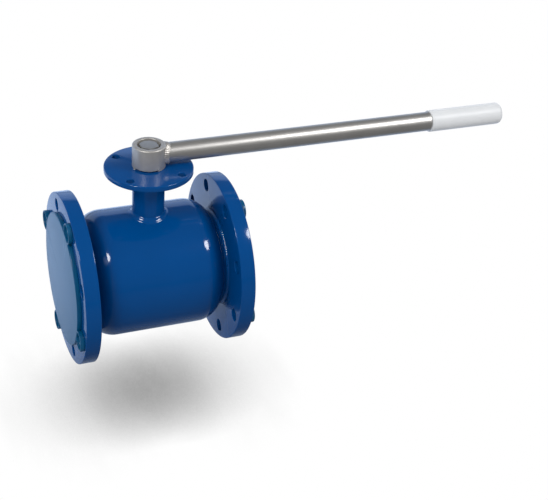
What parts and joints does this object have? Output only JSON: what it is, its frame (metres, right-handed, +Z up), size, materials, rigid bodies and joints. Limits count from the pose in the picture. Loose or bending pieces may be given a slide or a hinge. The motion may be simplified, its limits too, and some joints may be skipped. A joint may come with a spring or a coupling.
{
  "type": "ball valve",
  "caption": "Flanged steel ball valve with a welded body, a long stainless lever on a hub, an actuator mounting pad and plastic flange covers.",
  "frame": {"origin": "centre of the inlet flange's bolting face, on the pipe's axis: the plane where its bolt holes open, 3 mm behind the raised sealing face", "axes": "+X along the pipe from the inlet flange to the outlet flange, +Z up along the stem's axis, which is 120 mm from the origin; +Y completes a right-handed frame"},
  "size_m": [0.676, 0.245, 0.3185],
  "materials": {
    "blue_enamel": "glossy blue enamel",
    "stainless": "satin",
    "fastener_steel": "as rolled stainless",
    "ball_steel": "polished stainless",
    "spring_steel": "tempered",
    "seat_plastic": "carbon-filled fluoroplastic",
    "packing_plastic": "white fluoroplastic",
    "bearing_bronze": "machined",
    "seal_rubber": "matte",
    "white_sleeve": "soft satin vinyl",
    "cover_plastic": "thin blue polyethylene"
  },
  "bodies": {
    "pressure_body": {"actuator_pad": "blue_enamel", "body_shell": "blue_enamel", "gland_ring": "bearing_bronze", "inlet_disc_spring": "spring_steel", "inlet_face_weld": "blue_enamel", "inlet_flange": "blue_enamel", "inlet_flange_weld": "blue_enamel", "inlet_seat": "seat_plastic", "inlet_seat_carrier": "stainless", "inlet_seat_o_ring": "seal_rubber", "inlet_stub": "blue_enamel", "inlet_stub_weld": "blue_enamel", "neck_weld": "blue_enamel", "outlet_disc_spring": "spring_steel", "outlet_face_weld": "blue_enamel", "outlet_flange": "blue_enamel", "outlet_flange_weld": "blue_enamel", "outlet_seat": "seat_plastic", "outlet_seat_carrier": "stainless", "outlet_seat_o_ring": "seal_rubber", "outlet_stub": "blue_enamel", "outlet_stub_weld": "blue_enamel", "pad_weld": "blue_enamel", "retaining_ring": "spring_steel", "stem_bushing": "bearing_bronze", "stem_neck": "blue_enamel", "stem_packing": "packing_plastic", "stop_pin": "fastener_steel", "thrust_washer": "packing_plastic"},
    "lever": {"stem": "stainless", "stem_o_rings": "seal_rubber", "lever_hub": "stainless", "hub_washer": "fastener_steel", "hub_bolt": "fastener_steel", "lever_tube": "stainless", "lever_grip": "white_sleeve"},
    "ball": {"ball": "ball_steel"},
    "inlet_cover": {"inlet_cap": "cover_plastic"},
    "outlet_cover": {"outlet_cap": "cover_plastic"}
  },
  "joints": [
    {"name": "lever_turn", "type": "hinge", "parent": "pressure_body", "child": "lever", "pos_m": [0.12, 0, 0.18], "axis": [0, 0, 1], "range_deg": [-90, 0]},
    {"name": "ball_turn", "type": "hinge", "parent": "pressure_body", "child": "ball", "pos_m": [0.12, 0, 0], "axis": [0, 0, 1], "range_deg": [-90, 0]},
    {"name": "inlet_cap_off", "type": "slide", "parent": "pressure_body", "child": "inlet_cover", "axis": [-1, 0, 0], "range_m": [0, 0.08]},
    {"name": "outlet_cap_off", "type": "slide", "parent": "pressure_body", "child": "outlet_cover", "axis": [1, 0, 0], "range_m": [0, 0.08]}
  ],
  "couplings": [
    {"joint": "ball_turn", "follows": "lever_turn", "ratio": 1}
  ]
}
